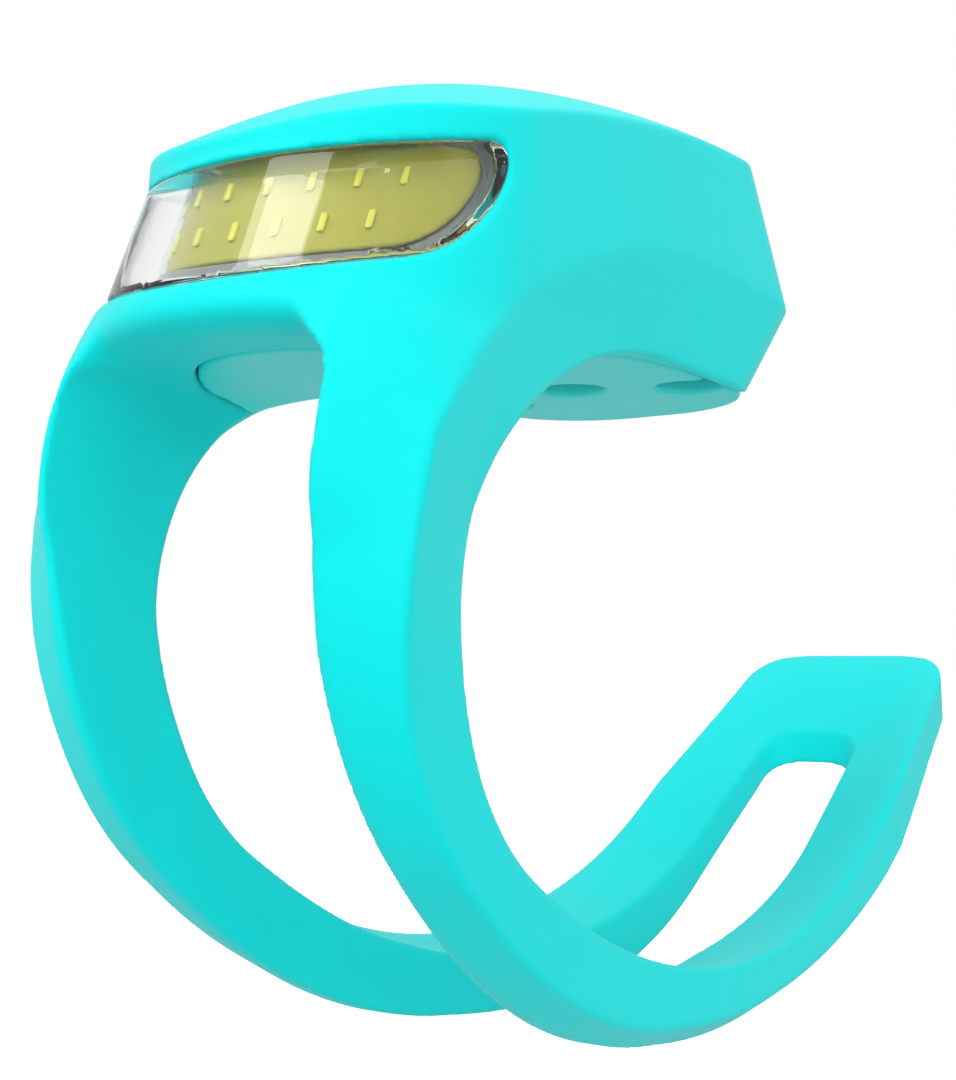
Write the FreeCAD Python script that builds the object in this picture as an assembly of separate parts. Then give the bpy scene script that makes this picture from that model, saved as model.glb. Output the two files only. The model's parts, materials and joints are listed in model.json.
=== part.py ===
import FreeCAD, Part
import math
import os

os.makedirs("parts", exist_ok=True)
V = FreeCAD.Vector

# Frame: millimetres, origin on the handlebar axis. +X runs along the bar,
# -Y points ahead of the rider (the beam), +Y to the rear, +Z up.

# Handlebar and strap, seen from the side
BAR_R = 12.7
GRIP_ARC_DEG = 116.0
UNDERSIDE_Z = 15.4
STRAP_BOTTOM_Z = -18.4
SLOT_HALF_W = 7.0
TAIL_SLOPE_DEG = 26.0
TAIL_INNER_R = 55.0
TAIL_END_Y = 68.4
TAIL_END_Z = -0.85
TAIL_END_HALF_W = 8.8
TAIL_TAPER_Y = 48.0
TAIL_CORNER_R = 4.2

# Slot between the two legs, which runs on into the tail loop
SLOT_ARCH_TOP_Z = 12.5
SLOT_ARCH_R = 3.5
SLOT_ARCH_LOW_Z = -14.0
SLOT_TAIL_HALF_W = 4.3
SLOT_MID_HALF_W = 4.5
SLOT_END_Y = 58.1
SLOT_NARROW_FROM_Y = -8.0
SLOT_NARROW_TO_Y = 22.0
SLOT_NARROW_AGAIN_Y = 42.0

# Shallow hollow along the tail's inside, deepest beside the slot
DISH_LOW = 0.75
DISH_HIGH = 1.3
DISH_INNER_W = 4.0
DISH_OUTER_W = 9.8
DISH_LIFT = 0.1
DISH_END_LIFT = 0.3

# Wall stack, each an inset from the outside of the silicone
SKIN_T = 1.2
SHELL_FIT = 0.05
SHELL_T = 0.8

# Cells, two standard coins of 16 mm by 3.2 mm stacked flat
CELL_R = 8.0
CELL_T = 3.2
CELL_Y = 3.4
CELL_BOTTOM_Z = 18.5
CELL_ROOM = 0.45

# Head: plan outlines at three heights, joined by leaning walls. It is as wide as the
# cells, the room beside them and the walls make it.
HEAD_LOW_Z = 9.0
CREASE_Z = 21.2
HEAD_TOP_Z = 34.0
HEAD_HALF_W = CELL_R + CELL_ROOM + SHELL_T + SHELL_FIT + SKIN_T
HEAD_LEAN_IN = 0.4
HEAD_LOW_HALF_W = HEAD_HALF_W - HEAD_LEAN_IN
HEAD_TOP_HALF_W = HEAD_HALF_W - HEAD_LEAN_IN
STRAP_STEP = 0.3
STRAP_HALF_W = HEAD_HALF_W - STRAP_STEP
NOSE_CENTRE_Y = -7.1
NOSE_LEAN = 0.41
NOSE_LEAN_OVER = 0.05
REAR_Y = 30.5
REAR_LEAN_UNDER = 0.62
REAR_LEAN_OVER = 0.64
REAR_CORNER_R = 7.5

# Crown of the head: a torus about an axis parallel to the bar
CROWN_CENTRE_Y = 16.7
CROWN_TOP_Z = 31.3
CROWN_R = 71.0
CROWN_CENTRE_Z = CROWN_TOP_Z - CROWN_R
CROWN_CROSS_R = 22.0

# Lens band, seen from the side
BAND_END_Y = -12.3
BAND_END_Z = 19.15
BAND_TILT_DEG = 12.0
BAND_HALF_H = 2.55
LENS_T = 1.8
LENS_FIT = 0.05
LENS_FLANGE_REACH = 0.8

# Light engine behind the lens: bezel, panel with its diodes, and their board
BEZEL_FROM = LENS_T + LENS_FIT
BEZEL_SHIFT = 0.9
BEZEL_OUT_SHIFT = 0.5
BEZEL_REACH = 0.6
BEZEL_LAP = 0.1
DIE_H = 0.15
DIE_BASE_R = 0.4
DIE_ROOM = 0.2
DIE_ROW_HALF = 0.95
DIE_COUNTS = (9, 8)
DIE_PITCH_DEG = 12.8
PANEL_FROM = LENS_T + DIE_H + DIE_ROOM
PANEL_T = 0.7
BOARD_FROM = PANEL_FROM + PANEL_T + LENS_FIT
BOARD_T = 0.9
BOARD_REACH = 0.3

# Circuit board, switch and button
PCB_Z = 25.25
PCB_T = 0.8
PCB_Y0 = 1.8
PCB_Y1 = 22.5
PCB_HALF_W = 6.8
BUTTON_Y = 15.0
BUTTON_R = 3.7
BUTTON_FIT = 0.1
BUTTON_TRAVEL = 0.45

# Floor of the space inside the head: lower in the nose than over the hatch
FLOOR_NOSE_Z = 14.5
FLOOR_NOSE_Y = -13.0
FLOOR_Z = 17.4
FLOOR_Y = -1.0

# Hatch under the head: half-widths with their y, then the rounded rear end
HATCH_FIT = 0.12
HATCH_FRONT_Y = -15.9
HATCH_SIDE = ((5.6, -10.5), (7.0, 4.0), (8.3, 12.0), (8.3, 20.3))
HATCH_CORNER = (6.7, 24.4)
HATCH_REAR = (2.6, 26.4)
HATCH_TOP_Z = 18.0
SEAL_IN = 1.5
SEAL_OUT = 0.7
SEAL_T = 0.7
SEAL_FIT = 0.03
SEAL_FRONT_Y = -3.5
SCREW_SPOTS = ((6.7, 17.4), (-6.7, 17.4), (0.0, 14.6))
RECESS_R = 2.1
RECESS_DEPTH = 1.4
SCREW_HEAD_T = 0.5
SCREW_HEAD_R = 1.6
SCREW_R = 0.8
SCREW_FIT = 0.05
INSERT_R = 1.45

# Outer line of a leg in the side view: each stop as y, z, with the point its arc
# passes on the way there. The slot side stands proud of the outer side.
LEG_TOP_SLOT = (12.9, 19.6)
LEG_SLOT_SIDE = (((-1.6, 17.9), (-17.3, 14.7)), ((-18.7, 10.9), (-19.9, 6.8)),
                 ((-18.45, -3.2), (-13.2, -10.7)), ((-2.2, -18.25), (9.9, -21.8)),
                 ((16.2, -22.6), (22.5, -22.75)), ((32.7, -21.3), (41.7, -18.0)),
                 ((50.4, -13.6), (59.0, -9.2)), (None, (69.6, -4.3)))
LEG_TOP_OUTER = (12.9, 21.3)
LEG_OUTER_SIDE = (((0.18, 19.34), (-11.3, 13.66)), ((-14.6, 11.2), (-17.0, 8.2)),
                  ((-17.65, -1.9), (-11.0, -12.0)), ((-2.3, -17.35), (8.0, -20.15)),
                  ((15.1, -20.75), (22.5, -20.55)), ((33.8, -19.2), (44.3, -16.5)),
                  ((51.4, -13.45), (59.0, -9.55)), (None, (69.6, -4.3)))

# Flex zone of the strap
FLEX_Y = 4.0
FLEX_Z = -18.35
FLEX_KNUCKLE_R = 2.75
FLEX_GAP = 0.3

FAR = 80.0


def rad(deg):
    return math.radians(deg)


def yz_arc(x, cy, cz, r, a0, a1):
    """Arc in a plane across X, from angle a0 to a1 measured from +Y towards +Z."""
    spots = [V(x, cy + r * math.cos(rad(a)), cz + r * math.sin(rad(a)))
             for a in (a0, (a0 + a1) / 2.0, a1)]
    return Part.Arc(*spots).toShape()


def line(a, b):
    return Part.makeLine(a, b)


def box(x0, x1, y0, y1, z0, z1):
    return Part.makeBox(x1 - x0, y1 - y0, z1 - z0, V(x0, y0, z0))


def rod(x, y, z0, z1, r):
    return Part.makeCylinder(r, z1 - z0, V(x, y, z0), V(0, 0, 1))


def side_prism(points, half_width):
    """Straight-sided outline in the side view, extruded across the part."""
    loop = [V(-half_width, y, z) for y, z in points]
    face = Part.Face(Part.makePolygon(loop + [loop[0]]))
    return face.extrude(V(2.0 * half_width, 0, 0))


def plan_prism(edges, z0, z1):
    """Closed plan outline drawn at z = 0, extruded from z0 to z1."""
    face = Part.Face(Part.Wire(edges))
    face.translate(V(0, 0, z0))
    return face.extrude(V(0, 0, z1 - z0))


def arc_to(a, via, b):
    return line(a, b) if via is None else Part.Arc(a, via, b).toShape()


def mirror(shape):
    return shape.mirror(V(0, 0, 0), V(1, 0, 0))


def save(shape, node):
    solids = shape.Solids
    print(node, len(solids), "solids", round(shape.Volume, 1), "mm3", shape.isValid())
    out = solids[0] if len(solids) == 1 else Part.makeCompound(solids)
    out.exportStep("parts/" + node + ".step")


# Inner line of the strap: underside, bar grip, bottom, tail. Shared by every profile.
GRIP_HALF = GRIP_ARC_DEG / 2.0
GRIP_SLOPE = 90.0 - GRIP_HALF
GRIP_Y = -BAR_R * math.cos(rad(GRIP_HALF))
GRIP_Z = BAR_R * math.sin(rad(GRIP_HALF))
TURN = 1.0 - math.cos(rad(GRIP_SLOPE))
UPPER_R = (UNDERSIDE_Z - GRIP_Z) / TURN
UPPER_Y = GRIP_Y + UPPER_R * math.sin(rad(GRIP_SLOPE))
LOWER_R = (-GRIP_Z - STRAP_BOTTOM_Z) / TURN
LOWER_Y = GRIP_Y + LOWER_R * math.sin(rad(GRIP_SLOPE))


def inner_edges(x):
    """From the tail end forward along the inside to the head's underside."""
    tail_cz = STRAP_BOTTOM_Z + TAIL_INNER_R
    tail = yz_arc(x, LOWER_Y, tail_cz, TAIL_INNER_R, 270.0 + TAIL_SLOPE_DEG, 270.0)
    ramp = line(V(x, TAIL_END_Y, TAIL_END_Z), tail.firstVertex(True).Point)
    lower = yz_arc(x, LOWER_Y, STRAP_BOTTOM_Z + LOWER_R, LOWER_R, 270.0, 270.0 - GRIP_SLOPE)
    grip = yz_arc(x, 0.0, 0.0, BAR_R, 180.0 + GRIP_HALF, 180.0 - GRIP_HALF)
    upper = yz_arc(x, UPPER_Y, UNDERSIDE_Z - UPPER_R, UPPER_R, 90.0 + GRIP_SLOPE, 90.0)
    return [ramp, tail, lower, grip, upper]


def leg_profile(x, top, stops):
    """Closed side profile of the strap in the plane at x."""
    edges = []
    here = V(x, *top)
    for via, stop in stops:
        nxt = V(x, *stop)
        edges.append(arc_to(here, via and V(x, *via), nxt))
        here = nxt
    inner = inner_edges(x)
    edges.append(line(here, V(x, TAIL_END_Y, TAIL_END_Z)))
    edges += inner
    edges.append(line(V(x, UPPER_Y, UNDERSIDE_Z), V(x, *top)))
    return Part.Wire(edges)


def slot_cutter():
    """The opening between the legs: an arch from the front, a narrowing slot in plan."""
    w, r, top = SLOT_HALF_W, SLOT_ARCH_R, SLOT_ARCH_TOP_Z
    k = r * (1.0 - math.cos(rad(45)))
    start = -FAR / 2.0

    def spot(x, z):
        return V(x, start, z)

    arch = [Part.Arc(spot(w, top - r), spot(w - k, top - k), spot(w - r, top)).toShape(),
            line(spot(w - r, top), spot(r - w, top)),
            Part.Arc(spot(r - w, top), spot(k - w, top - k), spot(-w, top - r)).toShape(),
            line(spot(-w, top - r), spot(-w, SLOT_ARCH_LOW_Z)),
            line(spot(-w, SLOT_ARCH_LOW_Z), spot(w, SLOT_ARCH_LOW_Z)),
            line(spot(w, SLOT_ARCH_LOW_Z), spot(w, top - r))]
    arch_cut = Part.Face(Part.Wire(arch)).extrude(V(0, -start, 0))
    m, t = SLOT_MID_HALF_W, SLOT_TAIL_HALF_W
    y1 = SLOT_END_Y - t
    stops = [(w, -FAR / 2.0), (w, SLOT_NARROW_FROM_Y), (m, SLOT_NARROW_TO_Y),
             (m, SLOT_NARROW_AGAIN_Y), (t, y1)]
    right = [V(x, y, 0) for x, y in stops]
    left = [V(-x, y, 0) for x, y in reversed(stops)]
    edges = [line(a, b) for a, b in zip(right, right[1:])]
    edges.append(Part.Arc(V(t, y1, 0), V(0, SLOT_END_Y, 0), V(-t, y1, 0)).toShape())
    edges += [line(a, b) for a, b in zip(left, left[1:])]
    edges.append(line(left[-1], right[0]))
    return arch_cut, plan_prism(edges, -FAR / 2.0, 2.0)


def dish_profile(x, low, high):
    """Closed side profile over the tail's inside, sunk by low and high at two places."""
    def lower_z(y):
        return STRAP_BOTTOM_Z + LOWER_R - math.sqrt(LOWER_R ** 2 - (LOWER_Y - y) ** 2)

    def tail_spot(deg, sunk):
        return V(x, LOWER_Y + TAIL_INNER_R * math.sin(rad(deg)),
                 STRAP_BOTTOM_Z + TAIL_INNER_R * (1.0 - math.cos(rad(deg))) - sunk)

    half_y = (FLEX_Y + LOWER_Y) / 2.0
    start = V(x, FLEX_Y, lower_z(FLEX_Y) + DISH_END_LIFT)
    bottom = tail_spot(0.0, low)
    slope = tail_spot(TAIL_SLOPE_DEG, high)
    end = V(x, TAIL_END_Y, TAIL_END_Z + DISH_END_LIFT)
    last = (slope + end) * 0.5 - V(0, 0, high / 2.0)
    over = [V(x, TAIL_END_Y, UNDERSIDE_Z / 2.0), V(x, FLEX_Y, UNDERSIDE_Z / 2.0)]
    return Part.Wire([
        Part.Arc(start, V(x, half_y, lower_z(half_y) - low / 2.0), bottom).toShape(),
        Part.Arc(bottom, tail_spot(TAIL_SLOPE_DEG / 2.0, (low + high) / 2.0), slope).toShape(),
        Part.Arc(slope, last, end).toShape(),
        line(end, over[0]), line(over[0], over[1]), line(over[1], start)])


def dish_cutter():
    """What the tail's hollow takes away: flat beside the slot, rising to the sides."""
    inner = dish_profile(DISH_INNER_W, DISH_LOW, DISH_HIGH)
    outer = dish_profile(DISH_OUTER_W, -DISH_LIFT, -DISH_LIFT)
    side = Part.makeLoft([inner, outer], True, True)
    middle = Part.Face(inner).extrude(V(-2.0 * DISH_INNER_W, 0, 0))
    return middle.fuse([side, mirror(side)])


def strap_solid():
    """Both legs and the tail as one bent band, before it is cut at the flex zone."""
    inner_w, outer_w = SLOT_HALF_W, STRAP_HALF_W
    middle = Part.Face(leg_profile(-inner_w, LEG_TOP_SLOT, LEG_SLOT_SIDE))
    middle = middle.extrude(V(2.0 * inner_w, 0, 0))
    leg = Part.makeLoft([leg_profile(inner_w, LEG_TOP_SLOT, LEG_SLOT_SIDE),
                         leg_profile(outer_w, LEG_TOP_OUTER, LEG_OUTER_SIDE)], True, True)
    band = middle.fuse([leg, mirror(leg)])
    w, e = outer_w + 1.0, TAIL_END_HALF_W
    r = TAIL_CORNER_R
    end_y = TAIL_END_Y + 0.5
    c, s = e - r * (1.0 - math.cos(rad(45))), end_y - r * (1.0 - math.sin(rad(45)))
    taper = e + (STRAP_HALF_W - e) * (r + 0.5) / (TAIL_END_Y - TAIL_TAPER_Y)
    edges = [line(V(w, -FAR, 0), V(w, TAIL_TAPER_Y, 0)),
             line(V(w, TAIL_TAPER_Y, 0), V(STRAP_HALF_W, TAIL_TAPER_Y, 0)),
             line(V(STRAP_HALF_W, TAIL_TAPER_Y, 0), V(taper, end_y - r, 0)),
             Part.Arc(V(taper, end_y - r, 0), V(c, s, 0), V(e - r, end_y, 0)).toShape(),
             line(V(e - r, end_y, 0), V(r - e, end_y, 0)),
             Part.Arc(V(r - e, end_y, 0), V(-c, s, 0), V(-taper, end_y - r, 0)).toShape(),
             line(V(-taper, end_y - r, 0), V(-STRAP_HALF_W, TAIL_TAPER_Y, 0)),
             line(V(-STRAP_HALF_W, TAIL_TAPER_Y, 0), V(-w, TAIL_TAPER_Y, 0)),
             line(V(-w, TAIL_TAPER_Y, 0), V(-w, -FAR, 0)),
             line(V(-w, -FAR, 0), V(w, -FAR, 0))]
    return band.common(plan_prism(edges, -FAR / 2.0, FAR / 2.0))


def nose_centre(z):
    """Where the middle of the nose's arc stands at height z."""
    lean = NOSE_LEAN if z < CREASE_Z else NOSE_LEAN_OVER
    return NOSE_CENTRE_Y - lean * (CREASE_Z - z)


def head_outline(z, half_w, rear_y, inset):
    """Plan outline of the head: round nose, straight sides, rounded rear corners."""
    w = half_w - inset
    yn = nose_centre(z)
    yr = rear_y - inset
    r = REAR_CORNER_R - inset
    k = r * (1.0 - math.cos(rad(45)))
    return Part.Wire([
        Part.Arc(V(w, yn, z), V(0, yn - w, z), V(-w, yn, z)).toShape(),
        line(V(-w, yn, z), V(-w, yr - r, z)),
        Part.Arc(V(-w, yr - r, z), V(-w + k, yr - k, z), V(-w + r, yr, z)).toShape(),
        line(V(-w + r, yr, z), V(w - r, yr, z)),
        Part.Arc(V(w - r, yr, z), V(w - k, yr - k, z), V(w, yr - r, z)).toShape(),
        line(V(w, yr - r, z), V(w, yn, z))])


def wall_solid(inset):
    """The head's leaning walls moved inwards by inset, without the crown."""
    low = head_outline(HEAD_LOW_Z, HEAD_LOW_HALF_W,
                       REAR_Y - REAR_LEAN_UNDER * (CREASE_Z - HEAD_LOW_Z), inset)
    mid = head_outline(CREASE_Z, HEAD_HALF_W, REAR_Y, inset)
    top = head_outline(HEAD_TOP_Z, HEAD_TOP_HALF_W,
                       REAR_Y - REAR_LEAN_OVER * (HEAD_TOP_Z - CREASE_Z), inset)
    return Part.makeLoft([low, mid, top], True, True)


def head_solid(inset):
    """The head's outside moved inwards by inset: leaning walls under the crown."""
    crown = Part.makeTorus(CROWN_R - CROWN_CROSS_R, CROWN_CROSS_R - inset,
                           V(0, CROWN_CENTRE_Y, CROWN_CENTRE_Z), V(1, 0, 0))
    return wall_solid(inset).common(crown)


def window(grow, end_shift=0.0):
    """Lens band in the side view, across the whole nose. grow moves its edges out."""
    t = rad(BAND_TILT_DEG)
    ey, ez = math.cos(t), math.sin(t)
    h = BAND_HALF_H + grow
    x = -FAR / 4.0
    cy = BAND_END_Y + end_shift * ey
    cz = BAND_END_Z + end_shift * ez
    fy, fz = cy - 24.0 * ey, cz - 24.0 * ez
    top, low = V(x, cy - h * ez, cz + h * ey), V(x, cy + h * ez, cz - h * ey)
    ftop, flow = V(x, fy - h * ez, fz + h * ey), V(x, fy + h * ez, fz - h * ey)
    tip = V(x, cy + h * ey, cz + h * ez)
    wire = Part.Wire([line(ftop, top), Part.Arc(top, tip, low).toShape(), line(low, flow),
                      line(flow, ftop)])
    return Part.Face(wire).extrude(V(FAR / 2.0, 0, 0))


def floor_side(lift, close_z):
    """All between the floor, moved up by lift, and the level close_z."""
    edge = FAR / 2.0
    points = [(-edge, FLOOR_NOSE_Z + lift), (FLOOR_NOSE_Y, FLOOR_NOSE_Z + lift),
              (FLOOR_Y, FLOOR_Z + lift), (edge, FLOOR_Z + lift),
              (edge, close_z), (-edge, close_z)]
    return side_prism(points, FAR / 4.0)


def above_floor(lift):
    return floor_side(lift, FAR)


def below_floor(lift):
    return floor_side(lift, -FAR)


def hatch_prism(grow):
    """Plan of the hatch, which follows the head's outline and narrows between the legs."""
    right = [V(x + grow, y, 0) for x, y in HATCH_SIDE]
    corner = V(HATCH_CORNER[0] + grow, HATCH_CORNER[1] + grow, 0)
    rear = V(HATCH_REAR[0], HATCH_REAR[1] + grow, 0)
    half = [line(a, b) for a, b in zip(right, right[1:])]
    half.append(Part.Arc(right[-1], corner, rear).toShape())
    nose, left = right[0], V(-right[0].x, right[0].y, 0)
    edges = half + [mirror(edge) for edge in half]
    edges.append(line(rear, V(-rear.x, rear.y, 0)))
    edges.append(Part.Arc(left, V(0, HATCH_FRONT_Y - grow, 0), nose).toShape())
    wire = Part.Wire(Part.__sortEdges__(edges))
    face = Part.Face(wire)
    face.translate(V(0, 0, -FAR / 4.0))
    return face.extrude(V(0, 0, FAR / 4.0 + HATCH_TOP_Z))


# Leads run from the main board, over the cells, down to the diodes' board
LEAD_R = 0.3
LEAD_X = (1.2, -1.2)
LEAD_GROOVE_FIT = 0.1
LEAD_OVER_Y = -4.9
LEAD_END_Z = 19.8
LEAD_END_GAP = 0.7


def lead_run(x, r):
    """A lead of radius r in the plane at x, with a round bend."""
    middle = PCB_Z + PCB_T / 2.0
    end_y = nose_centre(LEAD_END_Z) - HEAD_HALF_W + BOARD_FROM + BOARD_T + LEAD_END_GAP
    stops = [V(x, PCB_Y0 - 0.05, middle), V(x, LEAD_OVER_Y, middle - 0.2),
             V(x, end_y, LEAD_END_Z)]
    run = [Part.makeCylinder(r, (b - a).Length, a, b - a) for a, b in zip(stops, stops[1:])]
    return run[0].fuse(run[1:] + [Part.makeSphere(r, stops[1])])


# Silicone outside: head, legs and tail in one piece
under_wire = inner_edges(-20.0)
bore_top = V(-20.0, FAR, UNDERSIDE_Z)
bore_low = V(-20.0, FAR, TAIL_END_Z)
bore_face = Part.Face(Part.Wire(under_wire + [
    line(V(-20.0, UPPER_Y, UNDERSIDE_Z), bore_top), line(bore_top, bore_low),
    line(bore_low, V(-20.0, TAIL_END_Y, TAIL_END_Z))]))
bar_space = bore_face.extrude(V(40.0, 0, 0))
arch_cut, slot_cut = slot_cutter()
outside = head_solid(0.0).fuse([strap_solid()])
outside = outside.cut(bar_space).cut(dish_cutter()).cut(arch_cut).cut(slot_cut)
print("outside", len(outside.Solids), outside.isValid(), outside.BoundBox)
head_body = max(outside.Solids, key=lambda s: s.Volume)

# Flex zone: the tail starts with a knuckle that the legs' ends clear
knuckle = Part.makeCylinder(FLEX_KNUCKLE_R, FAR / 2.0, V(-FAR / 4.0, FLEX_Y, FLEX_Z), V(1, 0, 0))
socket = Part.makeCylinder(FLEX_KNUCKLE_R + FLEX_GAP, FAR / 2.0,
                           V(-FAR / 4.0, FLEX_Y, FLEX_Z), V(1, 0, 0))
behind = box(-20.0, 20.0, FLEX_Y, FAR, -40.0, 8.0)
strap_tail = head_body.common(behind.fuse([knuckle]))
front_part = head_body.cut(behind).cut(socket)
strap_tail = max(strap_tail.Solids, key=lambda s: s.Volume)
save(strap_tail, "strap_tail")

cavity = head_solid(SKIN_T).common(above_floor(0.0))
button_hole = rod(0.0, BUTTON_Y, 20.0, 40.0, BUTTON_R + BUTTON_FIT)
skin = front_part.cut(cavity).cut(hatch_prism(HATCH_FIT)).cut(window(0.0)).cut(button_hole)
skin = max(skin.Solids, key=lambda s: s.Volume)
save(skin, "silicone_body")

# Lens and what stands behind it
lens = head_solid(0.0).cut(wall_solid(LENS_T)).common(window(-LENS_FIT))
flange_zone = head_solid(SKIN_T + SHELL_FIT).cut(wall_solid(LENS_T))
flange = flange_zone.common(window(LENS_FLANGE_REACH)).common(above_floor(SHELL_FIT))
save(lens.fuse([flange]).removeSplitter(), "lens")

inner_space = head_solid(SKIN_T + SHELL_FIT).common(above_floor(SHELL_FIT))
bezel = wall_solid(BEZEL_FROM).cut(wall_solid(PANEL_FROM + PANEL_T)).common(inner_space)
bezel = bezel.common(window(BEZEL_REACH, BEZEL_OUT_SHIFT)).cut(window(-BEZEL_LAP, BEZEL_SHIFT))
save(bezel, "bezel_frame")
panel_window = window(-BEZEL_LAP - LENS_FIT, BEZEL_SHIFT - LENS_FIT)
panel = wall_solid(PANEL_FROM).cut(wall_solid(PANEL_FROM + PANEL_T)).common(panel_window)
save(panel, "phosphor_panel")
board = wall_solid(BOARD_FROM).cut(wall_solid(BOARD_FROM + BOARD_T))
board = board.common(window(BOARD_REACH)).common(inner_space)
save(board, "led_board")

# Diodes in two rows, each a low dome on the panel
panel_front = wall_solid(PANEL_FROM)
die_sphere_r = (DIE_BASE_R ** 2 + DIE_H ** 2) / (2.0 * DIE_H)
die_r = HEAD_HALF_W - PANEL_FROM - die_sphere_r + DIE_H
dies = []
for row, count in zip((1, -1), DIE_COUNTS):
    for i in range(count):
        turn = rad((i - (count - 1) / 2.0) * DIE_PITCH_DEG)
        z = BAND_END_Z
        for _ in range(4):
            y = nose_centre(z) - die_r * math.cos(turn)
            z = BAND_END_Z + (y - BAND_END_Y) * math.tan(rad(BAND_TILT_DEG))
            z += row * DIE_ROW_HALF
        spot = V(die_r * math.sin(turn), y, z)
        dies.append(Part.makeSphere(die_sphere_r, spot).cut(panel_front))
save(Part.makeCompound(dies), "led_dies")

# Module shell: rigid box inside the silicone, open below for the cells
shell = head_solid(SKIN_T + SHELL_FIT).cut(head_solid(SKIN_T + SHELL_FIT + SHELL_T))
shell = shell.common(above_floor(0.05))
inside = head_solid(SKIN_T + SHELL_FIT + SHELL_T - 0.2).common(above_floor(0.05))
bosses = []
for sx, sy in SCREW_SPOTS:
    bosses.append(rod(sx, sy, 17.75, 23.2, INSERT_R + 0.65))
web = box(-7.0, 7.0, 18.6, 19.5, 17.75, 24.6)
web = web.fuse([box(-0.5, 0.5, 14.6, 19.0, 17.75, 23.2)]).common(inside)
shell = shell.fuse([web] + bosses)
for sx, sy in SCREW_SPOTS:
    shell = shell.cut(rod(sx, sy, 17.0, 22.4, INSERT_R))
pocket = window(LENS_FLANGE_REACH + 0.1, BEZEL_OUT_SHIFT)
shell = shell.cut(pocket).cut(rod(0.0, BUTTON_Y, 26.0, 40.0, BUTTON_R + BUTTON_FIT))
for x in LEAD_X:
    shell = shell.cut(lead_run(x, LEAD_R + LEAD_GROOVE_FIT))
shell = max(shell.Solids, key=lambda s: s.Volume)
save(shell, "module_shell")

inserts = [rod(sx, sy, 18.2, 22.4, INSERT_R).cut(rod(sx, sy, 17.0, 22.4, SCREW_R + SCREW_FIT))
           for sx, sy in SCREW_SPOTS]
save(Part.makeCompound(inserts), "thread_inserts")

# Hatch, seal, screws and the cell spring that it carries
hatch = front_part.common(hatch_prism(0.0)).common(below_floor(-0.05))
seal = hatch_prism(-SEAL_OUT).cut(hatch_prism(-SEAL_IN))
seal = seal.common(below_floor(-0.05)).common(above_floor(-0.05 - SEAL_T))
front_end = box(-FAR, FAR, -FAR, SEAL_FRONT_Y, 0.0, FAR)
seal = seal.cut(front_end)
groove = hatch_prism(SEAL_FIT - SEAL_OUT).cut(hatch_prism(-SEAL_IN - SEAL_FIT))
groove = groove.common(above_floor(-0.05 - SEAL_T - SEAL_FIT)).cut(front_end)
hatch = hatch.cut(groove)
screws = []
for sx, sy in SCREW_SPOTS:
    hatch = hatch.cut(rod(sx, sy, 10.0, UNDERSIDE_Z + RECESS_DEPTH, RECESS_R))
    hatch = hatch.cut(rod(sx, sy, 10.0, 20.0, SCREW_R + SCREW_FIT))
    head = rod(sx, sy, UNDERSIDE_Z + RECESS_DEPTH - SCREW_HEAD_T,
               UNDERSIDE_Z + RECESS_DEPTH, SCREW_HEAD_R)
    socket_r = 0.55
    key = rod(sx, sy, UNDERSIDE_Z, UNDERSIDE_Z + RECESS_DEPTH - 0.25, socket_r)
    screws.append(head.fuse([rod(sx, sy, UNDERSIDE_Z + RECESS_DEPTH - SCREW_HEAD_T, 21.8, SCREW_R)]).cut(key))
    seal = seal.cut(rod(sx, sy, 10.0, 20.0, SCREW_HEAD_R))
hatch = max(hatch.Solids, key=lambda s: s.Volume)
save(hatch, "base_hatch")
save(seal, "hatch_seal")
save(Part.makeCompound(screws), "hatch_screws")

spring_pts = ((CELL_Y - 4.0, 17.37), (CELL_Y - 0.5, 17.37), (CELL_Y + 4.5, 18.2),
              (CELL_Y + 4.5, 18.46), (CELL_Y - 0.55, 17.62), (CELL_Y - 4.0, 17.62))
save(side_prism(spring_pts, 2.5), "cell_spring")

# Cells and contacts
lower = rod(0.0, CELL_Y, CELL_BOTTOM_Z, CELL_BOTTOM_Z + CELL_T, CELL_R)
upper_z = CELL_BOTTOM_Z + CELL_T + 0.01
upper = rod(0.0, CELL_Y, upper_z, upper_z + CELL_T, CELL_R)
save(lower, "coin_cell_lower")
save(upper, "coin_cell_upper")
contact_z = upper_z + CELL_T + 0.03
top_contact = box(-3.0, 3.0, CELL_Y - 1.5, CELL_Y + 6.0, contact_z, contact_z + 0.2)
save(top_contact, "top_contact")
clip = box(CELL_R + 0.03, CELL_R + 0.16, CELL_Y - 1.5, CELL_Y + 1.5, CELL_BOTTOM_Z + 0.3,
           contact_z + 0.15)
clip = clip.fuse([box(5.6, CELL_R + 0.16, CELL_Y - 1.5, CELL_Y + 1.5, contact_z + 0.02,
                      contact_z + 0.15)])
save(clip, "side_contact")

# Circuit board and what sits on it
pcb_x = PCB_HALF_W
pcb_pts = [V(-pcb_x, PCB_Y0, 0), V(pcb_x, PCB_Y0, 0), V(pcb_x, PCB_Y1 - 3.0, 0),
           V(pcb_x - 3.0, PCB_Y1, 0), V(-pcb_x + 3.0, PCB_Y1, 0), V(-pcb_x, PCB_Y1 - 3.0, 0)]
pcb_edges = [line(a, b) for a, b in zip(pcb_pts, pcb_pts[1:] + pcb_pts[:1])]
save(plan_prism(pcb_edges, PCB_Z, PCB_Z + PCB_T), "main_board")
pcb_top = PCB_Z + PCB_T
chips = [box(-1.5, 1.5, 4.5, 7.5, pcb_top, pcb_top + 0.8),
         box(2.9, 4.4, 8.6, 10.6, pcb_top, pcb_top + 0.7),
         box(-4.4, -2.9, 8.6, 10.6, pcb_top, pcb_top + 0.7),
         box(-2.0, 2.0, 13.0, 17.0, PCB_Z - 1.6, PCB_Z)]
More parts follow.
